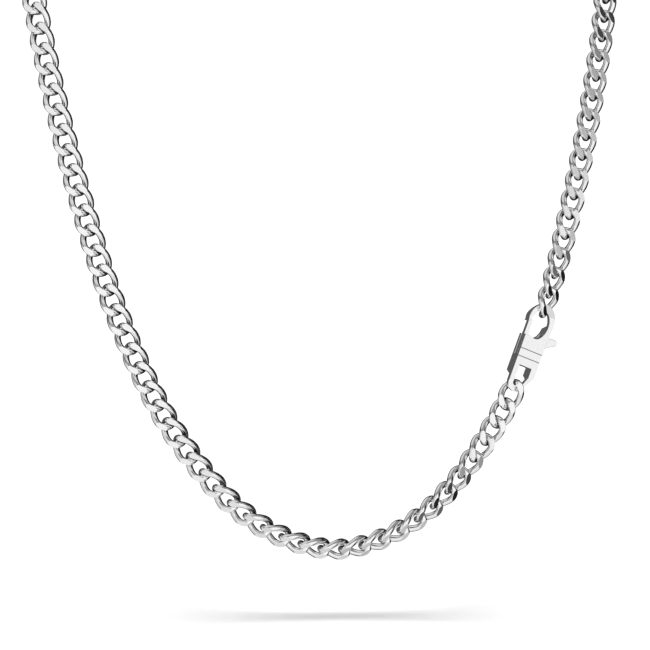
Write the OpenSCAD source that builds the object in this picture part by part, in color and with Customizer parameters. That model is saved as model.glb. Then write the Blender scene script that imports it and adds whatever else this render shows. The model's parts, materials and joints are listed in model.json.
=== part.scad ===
// Curb chain necklace with a flat lobster clasp on the right strand, in its hanging shape.
// Millimetres, +Z up, the front of the loop towards -Y. The origin is at the nape, on the
// inner face of the chain, where the necklace rests on the back of the neck.

/* [Loop] */
// Width of the loop between the chain's middle lines
loop_w = 120; // [110:1:130]
// Depth of the loop from the lowest front point to the nape
loop_d = 85.5; // [80:0.5:92]
// Height of the nape above the lowest front point
loop_h = 150; // [142:1:158]

/* [Chain] */
// Width of the chain across its face
chain_w = 5.2; // [5.2:0.05:5.4]
// Thickness between the two ground faces of the chain
chain_t = 2.3; // [2.1:0.1:2.4]
// Diameter of the link wire
wire_d = 1.2; // [1.2:0.05:1.3]
// Wished distance between neighbouring links, which the loop then rounds to whole links
link_pitch = 4.15; // [4.1:0.05:4.3]
// Free play between neighbouring links along the chain
link_play = 0.35; // [0.3:0.05:0.45]
// Twist of each end of a link about the chain's line
link_twist = 50; // [48:1:52]
// Squareness of the oval that the wire follows, 2 being an ellipse
link_square = 2.8; // [2.7:0.1:3]

/* [Clasp] */
// Width of the clasp's flat front face
clasp_w = 5.1; // [4.9:0.1:5.3]
// Thickness of the clasp's main block
clasp_t = 2.8; // [2.7:0.1:3]
// Thickness of the hook and of the tail
plate_t = 1.1; // [1:0.05:1.15]
// Length of the tail below the lever's hinge
tail_l = 8.95; // [8.8:0.05:9.2]
// Length of the hook above the lever's hinge
hook_l = 9.85; // [9.7:0.05:10]
// Distance along the chain from the lowest point to the middle of the clasp
clasp_at = 59; // [54:0.5:64]
// Width of each engraved line across the face
line_w = 0.2; // [0.15:0.05:0.3]
// Depth of each engraved line
line_depth = 0.08; // [0.05:0.01:0.1]
// Distance between the two engraved lines
line_gap = 1.65; // [1.4:0.05:2]

/* [Lever] */
// Thickness of the lever
lever_t = 1.1; // [1:0.05:1.15]
// Clearance between the lever and each wall of its slot
slot_clear = 0.06; // [0.05:0.01:0.1]
// Diameter of the hinge pin
pin_d = 0.8; // [0.7:0.05:0.9]
// Radial clearance of the pin in the lever
pin_run = 0.04; // [0.02:0.01:0.08]
// Radial clearance of the pin in the clasp's walls
pin_press = 0.01; // [0.01:0.01:0.02]
// Width of the gate that closes the hook
gate_w = 0.7; // [0.6:0.05:0.75]
// Reach of the thumb tab beyond the clasp's right edge
tab_reach = 2.6; // [2.3:0.1:2.8]
// Opening angle of the lever that is drawn
lever_open = 0; // [0:1:20]

/* [Hidden] */

steel = [0.78, 0.79, 0.80];
bright_steel = [0.86, 0.87, 0.88];
$fn = 48;

// The right half of the loop from its lowest point to the nape, in thousandths of half the
// width, of the depth and of the height, then the way the chain's face looks, in degrees
// round from the front and in degrees up.
route = [
    [0, 0, 0, 0, -43],
    [175, 0, 17, 3, -42],
    [333, 12, 57, 7, -35],
    [478, 29, 123, 7, -25],
    [606, 47, 207, 8, -13],
    [731, 82, 327, 10, -5],
    [829, 129, 460, 14, 0],
    [908, 181, 593, 18, 0],
    [967, 240, 720, 21, 0],
    [1000, 351, 827, 34, 0],
    [992, 520, 903, 66, 0],
    [883, 708, 953, 105, 0],
    [675, 860, 983, 139, 0],
    [367, 965, 997, 161, 0],
    [0, 1000, 1000, 180, 0]
];
last = len(route) - 1;
curve_steps = 12;

// One route point in millimetres, on the right side or mirrored to the left
function loop_point(row, side) = [
    side * row[0] / 1000 * loop_w / 2,
    (row[1] / 1000 - 1) * loop_d + chain_t / 2,
    (row[2] / 1000 - 1) * loop_h,
    side * row[3],
    row[4]
];
// The whole loop: from the nape down the left, across the front and up the right
loop_points = concat(
    [for (i = [last:-1:1]) loop_point(route[i], -1)],
    [for (i = [0:last]) loop_point(route[i], 1)]
);
turn = [0, 0, 0, 360, 0];
ghost_before = loop_point(route[last - 1], 1) - turn;
ghost_after = loop_point(route[last - 1], -1) + turn;
guides = concat([ghost_before], loop_points, [ghost_after]);

// Point of the smooth curve through four neighbouring points
function curve(a, b, c, d, t) =
    (2 * b + (c - a) * t + (2 * a - 5 * b + 4 * c - d) * t * t + (3 * b - 3 * c + d - a) * t * t * t) / 2;
fine = concat(
    [
        for (i = [1:len(guides) - 3], k = [0:curve_steps - 1])
            curve(guides[i - 1], guides[i], guides[i + 1], guides[i + 2], k / curve_steps)
    ],
    [guides[len(guides) - 2]]
);
function place(p) = [p[0], p[1], p[2]];
function gap_after(i) = i < len(fine) - 1 ? norm(place(fine[i + 1]) - place(fine[i])) : 0;
along = [for (i = 0, s = 0; i < len(fine); s = s + gap_after(i), i = i + 1) s];
loop_l = along[len(along) - 1];
tables = [for (c = [0:4]) [for (i = [0:len(fine) - 1]) [along[i], fine[i][c]]]];

// Place and face direction at a distance along the loop
function wrap(s) = s < 0 ? s + loop_l : s > loop_l ? s - loop_l : s;
function at(s) = [for (c = [0:2]) lookup(wrap(s), tables[c])];
function facing(s) =
    let (round_z = lookup(wrap(s), tables[3]), up = lookup(wrap(s), tables[4]))
    [sin(round_z) * cos(up), -cos(round_z) * cos(up), sin(up)];
function unit(v) = v / norm(v);
// Axes of a piece on the loop: along the chain, towards the inside, out of the face
function axes(ahead, face, roll = 0) =
    let (x = unit(ahead), z = unit(face - (face * x) * x), y = cross(z, x))
    [x, y * cos(roll) + z * sin(roll), z * cos(roll) - y * sin(roll)];

// One link: a wire along a twisted oval, ground flat at the front and the back
wire_r = wire_d / 2;
oval_x = (link_pitch + wire_d + link_play) / 2;
oval_y = (chain_w - wire_d) / 2;
half_ring = [0, 30, 75, 105, 150];
ring_angles = concat(half_ring, [for (t = half_ring) t + 180]);
wire_sides = 6;
wire_flat = 1 / cos(180 / wire_sides);
rings = len(ring_angles);
function power(v) = sign(v) * pow(abs(v), 2 / link_square);
function oval(t) =
    let (x = oval_x * power(cos(t)), y = oval_y * power(sin(t)), a = -link_twist * x / oval_x)
    [x, y * cos(a), y * sin(a)];
function ground(p) = [p[0], p[1], max(-chain_t / 2, min(chain_t / 2, p[2]))];
function ring(t) =
    let (
        middle = oval(t),
        a = -link_twist * middle[0] / oval_x,
        run = unit(oval(t + 10) - oval(t - 10)),
        flat = [0, -sin(a), cos(a)],
        up = unit(flat - (flat * run) * run),
        side = cross(run, up)
    )
    [
        for (k = [0:wire_sides - 1])
            let (b = 360 * (k + 0.5) / wire_sides)
            ground(middle + wire_r * (wire_flat * cos(b) * side + sin(b) * up))
    ];
link_points = [for (t = ring_angles) each ring(t)];
function corner(i, k) = (i % rings) * wire_sides + k % wire_sides;
link_faces = [
    for (i = [0:rings - 1], k = [0:wire_sides - 1], half = [0, 1])
        half == 0
            ? [corner(i, k), corner(i + 1, k + 1), corner(i + 1, k)]
            : [corner(i, k), corner(i, k + 1), corner(i + 1, k + 1)]
];

// The clasp's places: v across its face, u along it from the hinge, n out of the face,
// which is 0 in the middle of the hook's and the tail's thickness
half_w = clasp_w / 2;
face_n = plate_t / 2;
back_n = face_n - clasp_t;
lever_n = face_n - clasp_t / 2;
hinge_v = -0.5;
hinge_u = -0.5;
// How the plate thins towards the ends of the hook and the tail
nose_l = 2.2;
nose_cut = 0.25;
// Tail: round corner, slanted corner, and the slot with its two legs and the bar below it
tail_r = 1.8;
slope_a = 30;
tail_bar = 1.05;
slot_leg = 1;
slot_right_leg = 1.2;
slot_top = -3.45;
slot_rx = 1.05;
slot_ry = 0.8;
slot_end_a = 345;
slot_corner = 0.4;
// Main block, with the first of the two engraved lines
shoulder_u = 2.75;
thick_top = 5.2;
thick_bottom = -5.15;
thick_slope = 0.7;
line_u = -0.13;
// Hook with its mouth and the thick tip that the gate closes against
hook_foot_u = 1.5;
hook_rx = 2.93;
hook_ry = 3.45;
hook_v = -0.15;
hook_bar = 1.4;
mouth_rx = 2.08;
mouth_v = -0.33;
mouth_u = 5.6;
mouth_cut = 0.3;
mouth_top = hook_l - hook_bar;
mouth_bottom = shoulder_u - mouth_cut;
tip_u = 5.42;
tip_t = 1.85;
tip_inset = 0.15;
tip_left = hook_v - hook_rx + tip_inset;
tip_thick_l = 1.6;
tip_fade_l = 3.1;
tip_slope_a = 30;
tip_gap = 0.08;
// Where the middle lines of the chain's two ends cross the clasp
tail_line_v = -0.8;
hook_line_v = -0.35;
// How far a cut runs past the face that it opens
past = 1;

// Where the clasp lies on the loop, and how the end links hold its tail and its hook
tail_play = 0.38;
hook_play = 0.38;
wire_in = oval_x - wire_r;
tail_link_u = tail_play - tail_l + tail_bar - wire_in;
hook_link_u = mouth_top - hook_play + wire_in;
clasp_span = norm([hook_link_u - tail_link_u, hook_line_v - tail_line_v]);
clasp_lean_a = atan2(hook_line_v - tail_line_v, hook_link_u - tail_link_u);
clasp_mid = loop_l / 2 + clasp_at;
tail_link_s = clasp_mid - clasp_span / 2;
hook_link_s = clasp_mid + clasp_span / 2;
links = round((loop_l - clasp_span) / link_pitch) + 1;
pitch = (loop_l - clasp_span) / (links - 1);
// The links next to the clasp turn step by step until their wire stands across it
tail_roll_a = 28;
hook_roll_a = 28;
roll_links = 4;

function fade(k) = max(0, 1 - k / roll_links);
// Link number i, counted from the hook up to the nape, down the left and to the tail
function link_s(i) = wrap(hook_link_s + i * pitch);
function link_roll(i) = hook_roll_a * fade(i) - tail_roll_a * fade(links - 1 - i);
function link_at(i) =
    let (s = link_s(i), a = axes(at(s + pitch / 2) - at(s - pitch / 2), facing(s), link_roll(i)), c = at(s))
    [for (p = link_points) c + p * a];

// A run of links, each a loose closed solid
module link_run(numbers) {
    points = [for (i = numbers) each link_at(i)];
    faces = [
        for (j = [0:len(numbers) - 1], f = link_faces)
            [for (v = f) v + j * len(link_points)]
    ];
    color(steel) polyhedron(points = points, faces = faces);
}

module chain_left() {
    link_run([for (i = [0:links - 1]) if (link_s(i) <= loop_l / 2) i]);
}

module chain_right() {
    link_run([for (i = [0:links - 1]) if (link_s(i) > loop_l / 2) i]);
}

// The clasp's frame on the loop
tail_link = at(tail_link_s);
hook_link = at(hook_link_s);
span_axes = axes(hook_link - tail_link, facing(clasp_mid));
clasp_u = cos(clasp_lean_a) * span_axes[0] + sin(clasp_lean_a) * span_axes[1];
clasp_v = sin(clasp_lean_a) * span_axes[0] - cos(clasp_lean_a) * span_axes[1];
clasp_n = span_axes[2];
clasp_o = tail_link - clasp_u * tail_link_u - clasp_v * tail_line_v;

module on_clasp() {
    multmatrix([for (r = [0:2]) [clasp_v[r], clasp_u[r], clasp_n[r], clasp_o[r]]]) children();
}

function arc(c, rx, ry, from, to, steps = 12) = [
    for (k = [0:steps])
        let (a = from + (to - from) * k / steps)
        c + [rx * cos(a), ry * sin(a)]
];

// Outline of the clasp seen from the front: tail, main block and hook
tail_c = [tail_r - half_w, tail_r - tail_l];
right_foot = tail_c + tail_r * [cos(slope_a), -sin(slope_a)];
slope_top = right_foot[1] + (half_w - right_foot[0]) / tan(slope_a);
outline = concat(
    arc(tail_c, tail_r, tail_r, 180, 360 - slope_a),
    [[half_w, slope_top], [half_w, hook_foot_u]],
    arc([hook_v, hook_l - hook_ry], hook_rx, hook_ry, 0, 180, 20),
    [[tip_left, tip_u], [-half_w, shoulder_u]]
);
// Slot of the tail, inside the same lines
slot_left = slot_leg - half_w;
slot_right = half_w - slot_right_leg;
slot_low = tail_bar - tail_l;
slot_c = [slot_left + slot_rx, slot_low + slot_ry];
slot = concat(
    arc(slot_c, slot_rx, slot_ry, 180, slot_end_a, 10),
    [[slot_right, slope_top - slot_corner], [slot_right, slot_top], [slot_left, slot_top]]
);
mouth = concat(
    arc([mouth_v, mouth_u], mouth_rx, mouth_top - mouth_u, 0, 180, 16),
    arc([mouth_v, mouth_u], mouth_rx, mouth_u - mouth_bottom, 180, 360, 16)
);

// End of the hook's tip, which rises inwards so that the gate can swing past it
function tip_line(v) = tip_u + (v - tip_left) * tan(tip_slope_a);

module face_shape() {
    difference() {
        polygon(outline);
        polygon(slot);
        polygon(mouth);
        polygon([
            [-2 * half_w, shoulder_u],
            [mouth_v, shoulder_u],
            [mouth_v, tip_line(mouth_v)],
            [-2 * half_w, tip_line(-2 * half_w)]
        ]);
    }
}

// Thickness seen from the side: flush at the front, thick only in the main block
side_profile = [
    [-tail_l, face_n - nose_cut],
    [nose_l - tail_l, face_n],
    [hook_l - nose_l, face_n],
    [hook_l, face_n - nose_cut],
    [hook_l, nose_cut - face_n],
    [hook_l - nose_l, -face_n],
    [thick_top + thick_slope, -face_n],
    [thick_top, back_n],
    [thick_bottom, back_n],
    [thick_bottom - thick_slope, -face_n],
    [nose_l - tail_l, -face_n],
    [-tail_l, nose_cut - face_n]
];
tip_profile = [
    [tip_u - past, face_n],
    [tip_u - past, face_n - tip_t],
    [tip_u + tip_thick_l, face_n - tip_t],
    [tip_u + tip_fade_l, -face_n],
    [tip_u + tip_fade_l, face_n]
];

module side_block(profile, from_v, to_v) {
    translate([from_v, 0, 0])
        rotate([90, 0, 90])
            linear_extrude(to_v - from_v) polygon(profile);
}

module full_face() {
    translate([0, 0, back_n - past]) linear_extrude(clasp_t + 2 * past) face_shape();
}

// The lever's slot between the front and the back wall, open at the left, right and mouth
hollow_t = lever_t + 2 * slot_clear;
hollow_room = 1.25;
hollow_step_v = 1;
hollow_right_u = 0;
hollow_top = 3.95;
hollow = [
    [-half_w - past, hinge_u - hollow_room],
    [hollow_step_v, hinge_u - hollow_room],
    [half_w + past, hollow_right_u],
    [half_w + past, hollow_top],
    [-half_w - past, hollow_top]
];
// The pin's two ends in the back and the front wall, the front one blind
pin_inset = 0.05;
pin_grip = 0.4;
pin_end = 0.05;
pin_back = back_n + pin_inset;
pin_front = lever_n + hollow_t / 2 + pin_grip;

module clasp_body() {
    color(bright_steel) on_clasp() difference() {
        union() {
            intersection() {
                full_face();
                side_block(side_profile, -2 * clasp_w, 2 * clasp_w);
            }
            intersection() {
                full_face();
                side_block(tip_profile, -2 * clasp_w, mouth_v - mouth_rx / 2);
            }
        }
        translate([0, 0, lever_n - hollow_t / 2]) linear_extrude(hollow_t) polygon(hollow);
        translate([hinge_v, hinge_u, back_n - past])
            cylinder(d = pin_d + 2 * pin_press, h = pin_front + pin_end - back_n + past);
        for (line = [0, 1])
            translate([-clasp_w, line_u - line * line_gap - line_w / 2, face_n - line_depth])
                cube([2 * clasp_w, line_w, past]);
    }
}

// The lever: a gate up to the hook's tip, a boss on the pin and a thumb tab at the right.
// The arm between them is in hundredths of the clasp's half width and of its shoulder's height.
gate_inset = 0.05;
gate_left = gate_inset - half_w;
gate_right = gate_left + gate_w;
boss_r = 1.1;
tab_r = 0.7;
tab_v = half_w + tab_reach - tab_r;
tab_u = 3.15;
tab_end_a = -55;
arm_top = [[-65, 113], [-47, 76], [39, 76], [82, 105], [116, 133]];
arm_foot = [[133, 64], [102, 40], [43, 4]];
function arm(rows) = [for (p = rows) [p[0] / 100 * half_w, p[1] / 100 * shoulder_u]];
function gate_line(v) = tip_line(v) - tip_gap / cos(tip_slope_a);
lever_outline = concat(
    [[gate_left, hinge_u - boss_r], [gate_left, gate_line(gate_left)], [gate_right, gate_line(gate_right)]],
    arm(arm_top),
    arc([tab_v, tab_u], tab_r, tab_r, 90, tab_end_a, 8),
    arm(arm_foot),
    arc([hinge_v, hinge_u], boss_r, boss_r, 0, -90, 6)
);

module clasp_lever() {
    color(steel) on_clasp() translate([hinge_v, hinge_u, lever_n - lever_t / 2])
        rotate([0, 0, -lever_open])
            difference() {
                linear_extrude(lever_t) translate([-hinge_v, -hinge_u]) polygon(lever_outline);
                translate([0, 0, -past]) cylinder(d = pin_d + 2 * pin_run, h = lever_t + 2 * past);
            }
}

module clasp_pin() {
    color(steel) on_clasp() translate([hinge_v, hinge_u, pin_back])
        cylinder(d = pin_d, h = pin_front - pin_back);
}

chain_left();
chain_right();
clasp_body();
clasp_lever();
clasp_pin();
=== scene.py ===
import json
import math

import bmesh
import bpy
import numpy as np
from mathutils import Matrix, Vector


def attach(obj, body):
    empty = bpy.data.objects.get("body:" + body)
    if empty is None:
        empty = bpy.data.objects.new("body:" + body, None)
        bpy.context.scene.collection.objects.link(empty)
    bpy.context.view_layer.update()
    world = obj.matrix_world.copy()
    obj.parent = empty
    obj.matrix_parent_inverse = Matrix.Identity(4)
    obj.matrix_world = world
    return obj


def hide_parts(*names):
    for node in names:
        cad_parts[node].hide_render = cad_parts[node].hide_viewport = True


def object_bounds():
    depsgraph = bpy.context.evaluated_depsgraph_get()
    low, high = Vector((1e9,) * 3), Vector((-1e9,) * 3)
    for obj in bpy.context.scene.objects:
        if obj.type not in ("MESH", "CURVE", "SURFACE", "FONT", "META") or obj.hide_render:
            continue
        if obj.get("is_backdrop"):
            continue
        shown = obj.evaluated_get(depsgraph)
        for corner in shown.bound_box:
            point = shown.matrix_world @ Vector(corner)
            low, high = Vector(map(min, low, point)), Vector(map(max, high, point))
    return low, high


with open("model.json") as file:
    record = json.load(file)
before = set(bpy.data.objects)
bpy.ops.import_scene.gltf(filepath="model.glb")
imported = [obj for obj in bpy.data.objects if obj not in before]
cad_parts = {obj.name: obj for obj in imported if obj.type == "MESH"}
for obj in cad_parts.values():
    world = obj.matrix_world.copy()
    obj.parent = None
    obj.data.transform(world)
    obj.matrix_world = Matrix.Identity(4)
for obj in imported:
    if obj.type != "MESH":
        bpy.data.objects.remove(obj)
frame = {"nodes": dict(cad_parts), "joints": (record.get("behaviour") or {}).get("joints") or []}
cad_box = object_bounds()
scene = bpy.context.scene
MM = 0.001

# Camera, from the photograph's frame: the chain's lowest point and the pixel that it falls on
IMAGE_SIZE = 650
LOW_PIXEL = (338, 549)
PIXELS_PER_MM = 5.0
LOW_POINT = Vector((0, -84.35, -150)) * MM
CAMERA_SIDE = math.radians(8)
CAMERA_RISE = math.radians(8)
CAMERA_AWAY = 600 * MM
CLIP_NEAR = 10 * MM
CLIP_FAR = 20
SENSOR = 36.0

# Floor, and the sun that casts the soft shadow on it
FLOOR_DROP = 13.5 * MM
FLOOR_SIDE = 6.0
FLOOR_ROLL = math.radians(1.5)
FLOOR_GREY = 0.62
FLOOR_ROUGH = 0.9
FLOOR_SHINE = 0.1
SUN_POWER = 4.75
SUN_SPREAD = math.radians(34)
SUN_LEAN = math.radians(4)

# Studio: white for the camera, and for the metal nearly black with soft bright fields
SKY_FOR_CAMERA = 1.06
STUDIO_DARK = 0.01
# Each field: the way towards it, full inside this angle, gone outside this one, strength
LIGHT_FIELDS = (
    ((0.09, -1, -0.03), 38, 50, 1.0),
    ((-0.55, -0.8, -0.15), 24, 36, 0.92),
    ((0.05, -0.72, -0.7), 24, 38, 0.82),
    ((-0.6, -0.4, -0.7), 16, 28, 0.84),
    ((-0.7, -0.55, 0.45), 12, 26, 0.85),
    ((0.75, -0.65, -0.05), 12, 20, 0.56),
    ((0.6, -0.65, -0.47), 10, 20, 0.62),
    ((-1, -0.1, -0.17), 25, 42, 0.65),
    ((-0.8, -0.1, -0.6), 18, 34, 0.4),
    ((-0.35, 0.2, 0.9), 24, 40, 0.7),
    ((0.3, -0.5, 0.8), 26, 44, 0.3),
    ((0, -0.25, -1), 20, 36, 0.8),
    ((0.5, 0.1, -0.85), 8, 20, 0.6),
    ((-0.55, 0.8, 0.1), 25, 45, 0.1),
)

# One link of the chain, in millimetres and degrees
LINK_PITCH = 4.14
LINK_WIDTH = 5.05
LINK_THICK = 2.42
WIRE = 1.3
LINK_GAP = 0.05
LINK_TWIST = -50

# The link's curves, where a power of 2 is an ellipse and a higher one is squarer
OVAL_POWER = 2.5
SECTION_POWER = 2.1

# Fineness of the link's mesh, and how near its grinding cut a corner counts as on it, in metres
RINGS = 64
SECTION_POINTS = 20
FINE_TURNS = 1441
TURN_STEP = 0.001
CUT_REACH = 1e-8

# Rounded edges of the clasp and its engraved lines, in millimetres
CLASP_EDGE = 0.15
LEVER_EDGE = 0.16
EDGE_STEPS = 3
EDGE_PROFILE = 0.5
ENGRAVED_DEPTH = 0.08
MERGE_REACH = 0.001

# Shares of the engraved depth: the range that a line's floor lies in, and the longest edge of its walls
GROOVE_FLOOR = (0.5, 1.5)
GROOVE_WALL = 1.2

# Faces that lean less from the front or are larger, in square millimetres, are shaded flat
FACE_LEAN = math.cos(math.radians(10))
FLAT_AREA = 0.9
SHARP_ANGLE = math.radians(30)
FLAT_ANGLE = math.radians(0.5)

# Each steel: brightness, roughness, spread of roughness, grain in mm, stretch of the grain, relief
CHAIN_GREY = 0.92
STEELS = {
    "wire": (CHAIN_GREY, 0.04, 0.03, 0.5, (1, 1, 1), 0.15),
    "ground": (CHAIN_GREY, 0.17, 0.05, 0.12, (1, 1, 0.25), 0.15),
    "clasp": (0.95, 0.22, 0.04, 0.15, (1, 1, 0.2), 0.12),
    # The engraved lines' floors: dark grey painted shade, standing in for the shade that falls in the
    # grooves
    "line": (0.3, 0.35, 0.05, 0.15, (1, 1, 1), 0.2),
    "lever": (0.97, 0.24, 0.05, 0.2, (1, 1, 1), 0.2),
}
GRAIN_DETAIL = 3
GRAIN_RANGE = (0.3, 0.7)
RELIEF_DEPTH = 0.02

# Place of the second material on a piece: the links' ground facets, and the floors of the engraved lines,
# whose dark grey is painted shade in the grooves
SECOND = 1


def make_camera():
    """The photograph's camera: the chain's lowest point falls on its own pixel."""
    side, rise = CAMERA_SIDE, CAMERA_RISE
    ahead = Vector((math.sin(side) * math.cos(rise), math.cos(side) * math.cos(rise), -math.sin(rise)))
    right = Vector((math.cos(side), -math.sin(side), 0))
    up = right.cross(ahead)
    focal = PIXELS_PER_MM * CAMERA_AWAY / MM
    middle = IMAGE_SIZE / 2
    ray = ahead + right * ((LOW_PIXEL[0] - middle) / focal) - up * ((LOW_PIXEL[1] - middle) / focal)
    data = bpy.data.cameras.new("camera")
    data.sensor_width = SENSOR
    data.lens = focal / IMAGE_SIZE * SENSOR
    data.clip_start = CLIP_NEAR
    data.clip_end = CLIP_FAR
    camera = bpy.data.objects.new("camera", data)
    scene.collection.objects.link(camera)
    axes = Matrix((right, up, -ahead)).transposed().to_4x4()
    camera.matrix_world = Matrix.Translation(LOW_POINT - ray * CAMERA_AWAY) @ axes
    scene.camera = camera


def new_material(name, grey):
    """A new grey material and its shader."""
    material = bpy.data.materials.new(name)
    material.use_nodes = True
    shader = material.node_tree.nodes["Principled BSDF"]
    shader.inputs["Base Color"].default_value = (grey, grey, grey, 1)
    return material, shader


def make_floor():
    """A pale floor below the necklace, rolled a little so that the shadow lies level in the picture."""
    material, shader = new_material("pale_floor", FLOOR_GREY)
    shader.inputs["Roughness"].default_value = FLOOR_ROUGH
    shader.inputs["Specular IOR Level"].default_value = FLOOR_SHINE
    half = FLOOR_SIDE / 2
    height = LOW_POINT.z - FLOOR_DROP
    mesh = bpy.data.meshes.new("floor")
    corners = [(-half, -half, height), (half, -half, height), (half, half, height), (-half, half, height)]
    mesh.from_pydata(corners, [], [(0, 1, 2, 3)])
    mesh.materials.append(material)
    floor = bpy.data.objects.new("floor", mesh)
    floor.visible_glossy = False
    floor.rotation_euler = (0, FLOOR_ROLL, 0)
    scene.collection.objects.link(floor)
    floor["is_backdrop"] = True


def light_field(nodes, links, direction, towards, full, gone, strength):
    """The brightness that one soft round field gives in each direction."""
    dot = nodes.new("ShaderNodeVectorMath")
    dot.operation = "DOT_PRODUCT"
    links.new(direction, dot.inputs[0])
    dot.inputs[1].default_value = Vector(towards).normalized()
    fade = nodes.new("ShaderNodeMapRange")
    fade.interpolation_type = "SMOOTHSTEP"
    links.new(dot.outputs["Value"], fade.inputs["Value"])
    fade.inputs["From Min"].default_value = math.cos(math.radians(gone))
    fade.inputs["From Max"].default_value = math.cos(math.radians(full))
    fade.inputs["To Min"].default_value = STUDIO_DARK
    fade.inputs["To Max"].default_value = strength
    return fade.outputs["Result"]


def brighter(nodes, links, one, other):
    """The brighter of two levels."""
    most = nodes.new("ShaderNodeMath")
    most.operation = "MAXIMUM"
    links.new(one, most.inputs[0])
    links.new(other, most.inputs[1])
    return most.outputs["Value"]


def make_world():
    """White for the camera, and for the metal a dark studio with soft bright fields."""
    world = bpy.data.worlds.new("studio")
    scene.world = world
    world.use_nodes = True
    nodes, links = world.node_tree.nodes, world.node_tree.links
    direction = nodes.new("ShaderNodeTexCoord").outputs["Generated"]
    level = light_field(nodes, links, direction, *LIGHT_FIELDS[0])
    for field in LIGHT_FIELDS[1:]:
        level = brighter(nodes, links, level, light_field(nodes, links, direction, *field))
    path = nodes.new("ShaderNodeLightPath")
    pick = nodes.new("ShaderNodeMix")
    links.new(path.outputs["Is Camera Ray"], pick.inputs["Factor"])
    links.new(level, pick.inputs["A"])
    pick.inputs["B"].default_value = SKY_FOR_CAMERA
    background = nodes["Background"]
    links.new(pick.outputs["Result"], background.inputs["Strength"])
    background.inputs["Color"].default_value = (1, 1, 1, 1)


def make_sun():
    """A wide soft sun overhead, which the metal doesn't reflect."""
    data = bpy.data.lights.new("overhead", "SUN")
    data.energy = SUN_POWER
    data.angle = SUN_SPREAD
    sun = bpy.data.objects.new("overhead", data)
    sun.visible_glossy = False
    sun.rotation_euler = (-SUN_LEAN, 0, 0)
    scene.collection.objects.link(sun)


def steel(name):
    """Steel with fine grinding marks, which vary its roughness and stand out slightly."""
    grey, rough, rough_spread, grain_size, grain_stretch, relief_strength = STEELS[name]
    material, shader = new_material(name + "_steel", grey)
    nodes, links = material.node_tree.nodes, material.node_tree.links
    shader.inputs["Metallic"].default_value = 1.0
    place = nodes.new("ShaderNodeTexCoord").outputs["Object"]
    stretch = nodes.new("ShaderNodeMapping")
    stretch.inputs["Scale"].default_value = grain_stretch
    links.new(place, stretch.inputs["Vector"])
    grain = nodes.new("ShaderNodeTexNoise")
    grain.inputs["Scale"].default_value = 1 / (grain_size * MM)
    grain.inputs["Detail"].default_value = GRAIN_DETAIL
    links.new(stretch.outputs["Vector"], grain.inputs["Vector"])
    spread = nodes.new("ShaderNodeMapRange")
    links.new(grain.outputs["Fac"], spread.inputs["Value"])
    spread.inputs["From Min"].default_value = GRAIN_RANGE[0]
    spread.inputs["From Max"].default_value = GRAIN_RANGE[1]
    spread.inputs["To Min"].default_value = rough - rough_spread
    spread.inputs["To Max"].default_value = rough + rough_spread
    links.new(spread.outputs["Result"], shader.inputs["Roughness"])
    relief = nodes.new("ShaderNodeBump")
    relief.inputs["Strength"].default_value = relief_strength
    relief.inputs["Distance"].default_value = RELIEF_DEPTH * MM
    links.new(grain.outputs["Fac"], relief.inputs["Height"])
    links.new(relief.outputs["Normal"], shader.inputs["Normal"])
    return material


def signed_power(value, power):
    """A power of the value's size that keeps its sign."""
    return math.copysign(abs(value) ** power, value)


def oval_point(turn):
    """Point on the link's twisted oval, in mm, and the twist there, in radians."""
    reach = (LINK_PITCH + WIRE + LINK_GAP) / 2
    half = (LINK_WIDTH - WIRE) / 2
    x = reach * signed_power(math.cos(turn), 2 / OVAL_POWER)
    y = half * signed_power(math.sin(turn), 2 / OVAL_POWER)
    twist = math.radians(LINK_TWIST) * x / reach
    return np.array([x, y * math.cos(twist), y * math.sin(twist)]), twist


def even_turns():
    """Turns that space the rings evenly along the oval."""
    fine = np.linspace(0, 2 * math.pi, FINE_TURNS)
    points = np.array([oval_point(turn)[0] for turn in fine])
    run = np.r_[0, np.cumsum(np.linalg.norm(np.diff(points, axis=0), axis=1))]
    return np.interp(np.arange(RINGS) * run[-1] / RINGS, run, fine)


def link_ring(turn):
    """The wire's section at one turn of the oval, in metres."""
    middle, twist = oval_point(turn)
    run = oval_point(turn + TURN_STEP)[0] - oval_point(turn - TURN_STEP)[0]
    run /= np.linalg.norm(run)
    out = np.array([0, -math.sin(twist), math.cos(twist)])
    out -= run * out.dot(run)
    out /= np.linalg.norm(out)
    side = np.cross(run, out)
    ring = []
    for k in range(SECTION_POINTS):
        angle = 2 * math.pi * k / SECTION_POINTS
        across = WIRE / 2 * signed_power(math.cos(angle), 2 / SECTION_POWER)
        high = WIRE / 2 * signed_power(math.sin(angle), 2 / SECTION_POWER)
        ring.append(Vector(middle + across * side + high * out) * MM)
    return ring


def grind(bm, side):
    """Cuts one face of the link flat, closes each cut with one flat facet and keeps its edge crisp."""
    cut = bmesh.ops.bisect_plane(
        bm,
        geom=bm.verts[:] + bm.edges[:] + bm.faces[:],
        plane_co=(0, 0, side * LINK_THICK / 2 * MM),
        plane_no=(0, 0, side),
        clear_outer=True,
        dist=CUT_REACH,
    )
    edges = [e for e in cut["geom_cut"] if isinstance(e, bmesh.types.BMEdge)]
    for facet in bmesh.ops.edgeloop_fill(bm, edges=edges)["faces"]:
        facet.smooth = False
        facet.material_index = SECOND
    for edge in edges:
        edge.smooth = False


def link_mesh():
    """One link: a wire along the twisted oval, ground flat at the front and the back."""
    bm = bmesh.new()
    rings = [[bm.verts.new(p) for p in link_ring(turn)] for turn in even_turns()]
    for i, ring in enumerate(rings):
        following = rings[(i + 1) % RINGS]
        for k in range(SECTION_POINTS):
            n = (k + 1) % SECTION_POINTS
            bm.faces.new((ring[k], following[k], following[n], ring[n])).smooth = True
    bmesh.ops.recalc_face_normals(bm, faces=bm.faces[:])
    for side in (1, -1):
        grind(bm, side)
    bmesh.ops.recalc_face_normals(bm, faces=bm.faces[:])
    mesh = bpy.data.meshes.new("link")
    bm.to_mesh(mesh)
    bm.free()
    return mesh


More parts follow.
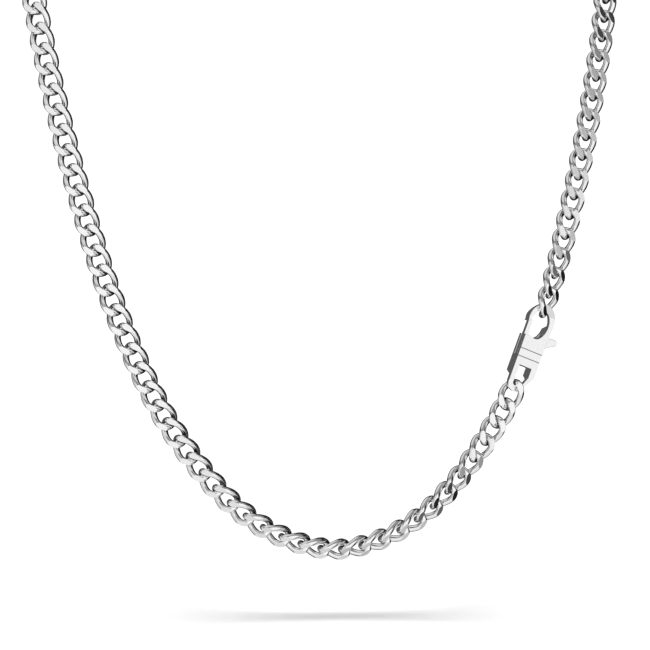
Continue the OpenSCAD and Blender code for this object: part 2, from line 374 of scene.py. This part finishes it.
def islands(bm):
    """Groups of faces that hang together."""
    left = set(bm.faces)
    while left:
        group, waiting = set(), [left.pop()]
        while waiting:
            face = waiting.pop()
            group.add(face)
            near = {f for e in face.edges for f in e.link_faces} & left
            left -= near
            waiting.extend(near)
        yield group


def link_place(faces):
    """Where a solid link lies: its middle, and its long, wide and thin axes by its surface's spread."""
    corners = np.array([[v.co[:] for v in face.verts] for face in faces])
    areas = np.linalg.norm(np.cross(corners[:, 1] - corners[:, 0], corners[:, 2] - corners[:, 0]), axis=1)
    middle = (corners.mean(1) * areas[:, None]).sum(0) / areas.sum()
    arms = corners - middle
    sums = arms.sum(1)
    spread = np.einsum("n,nij,nik->jk", areas, arms, arms) + np.einsum("n,nj,nk->jk", areas, sums, sums)
    axes = np.linalg.eigh(spread)[1][:, ::-1]
    if np.linalg.det(axes) < 0:
        axes[:, 2] *= -1
    return Matrix.Translation(middle) @ Matrix(axes.tolist()).to_4x4()


def make_chain(node, name, link, materials):
    """A stretch of the chain, with a link in the place of each of the node's solids."""
    solids = bmesh.new()
    solids.from_mesh(frame["nodes"][node].data)
    bmesh.ops.remove_doubles(solids, verts=solids.verts[:], dist=MERGE_REACH * MM)
    places = [link_place(group) for group in islands(solids)]
    solids.free()
    bm = bmesh.new()
    for place in places:
        first = len(bm.verts)
        bm.from_mesh(link)
        bm.verts.ensure_lookup_table()
        bmesh.ops.transform(bm, matrix=place, verts=bm.verts[first:])
    mesh = bpy.data.meshes.new(name)
    bm.to_mesh(mesh)
    bm.free()
    mesh.materials.append(materials["wire"])
    mesh.materials.append(materials["ground"])
    piece = bpy.data.objects.new(name, mesh)
    scene.collection.objects.link(piece)
    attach(piece, "necklace")
    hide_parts(node)


def front_of_clasp():
    """The way the clasp's front face looks, which is against the axis of the lever's joint."""
    hinge = next(joint for joint in frame["joints"] if joint["name"] == "lever_hinge")
    return -Vector(hinge["axis"]).normalized()


def mark_grooves(bm, front):
    """Gives the floors of the engraved lines, which lie just below the front face, the second material,
    whose dark grey is painted shade in the grooves.
    """
    top = max(v.co.dot(front) for v in bm.verts)
    least, most = GROOVE_FLOOR
    for face in bm.faces:
        depths = [(top - v.co.dot(front)) / (ENGRAVED_DEPTH * MM) for v in face.verts]
        face.material_index = SECOND if min(depths) > least and max(depths) < most else 0


def groove_edges(bm):
    """The edges of the engraved lines' floors and walls."""
    floor = {v for face in bm.faces if face.material_index == SECOND for v in face.verts}
    wall = GROOVE_WALL * ENGRAVED_DEPTH * MM
    return {
        e for v in floor for e in v.link_edges
        if e.calc_length() < wall or all(end in floor for end in e.verts)
    }


def round_edges(bm, width):
    """Rounds the sharp edges, apart from those in and around the engraved lines."""
    groove = groove_edges(bm)
    rims = {v for e in groove for v in e.verts}
    chosen = [
        e for e in bm.edges
        if e.calc_face_angle(0) > SHARP_ANGLE and e not in groove and not all(v in rims for v in e.verts)
    ]
    bmesh.ops.bevel(
        bm, geom=chosen, offset=width * MM, segments=EDGE_STEPS, profile=EDGE_PROFILE,
        affect="EDGES", clamp_overlap=True,
    )


def shade_faces(mesh, front):
    """Shades small leaning faces smooth, and large ones and those that look to the front flat."""
    mesh.set_sharp_from_angle(angle=SHARP_ANGLE)
    for face in mesh.polygons:
        face.use_smooth = abs(face.normal.dot(front)) < FACE_LEAN and face.area < FLAT_AREA * MM * MM


def make_softened(node, name, body, width, material, engraved):
    """A piece of the clasp: its solid with rounded edges, flat faces and crisp engraved lines, whose
    floors are painted dark as painted shade.
    """
    bm = bmesh.new()
    bm.from_mesh(frame["nodes"][node].data)
    bmesh.ops.remove_doubles(bm, verts=bm.verts[:], dist=MERGE_REACH * MM)
    bmesh.ops.dissolve_limit(bm, angle_limit=FLAT_ANGLE, verts=bm.verts[:], edges=bm.edges[:])
    front = front_of_clasp()
    mark_grooves(bm, front)
    round_edges(bm, width)
    mesh = bpy.data.meshes.new(name)
    bm.to_mesh(mesh)
    bm.free()
    shade_faces(mesh, front)
    mesh.materials.append(material)
    # The engraved lines' floors take the dark steel, which is painted shade in the grooves
    mesh.materials.append(engraved)
    piece = bpy.data.objects.new(name, mesh)
    scene.collection.objects.link(piece)
    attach(piece, body)
    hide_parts(node)


def dress_pin(material):
    """The lever's pin keeps its solid and takes a steel."""
    pin = frame["nodes"]["clasp_pin"]
    pin.data.materials[0] = material


def write_sizes():
    boxes = {"cad": cad_box, "visual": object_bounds()}
    {name: [list(corner) for corner in box] for name, box in boxes.items()}


make_camera()
make_floor()
make_world()
make_sun()
scene.view_settings.view_transform = "Standard"
steels = {name: steel(name) for name in STEELS}
link = link_mesh()
make_chain("chain_left", "left_chain", link, steels)
make_chain("chain_right", "right_chain", link, steels)
make_softened("clasp_body", "clasp", "necklace", CLASP_EDGE, steels["clasp"], steels["line"])
make_softened("clasp_lever", "lever", "lever", LEVER_EDGE, steels["lever"], steels["line"])
dress_pin(steels["lever"])
write_sizes()
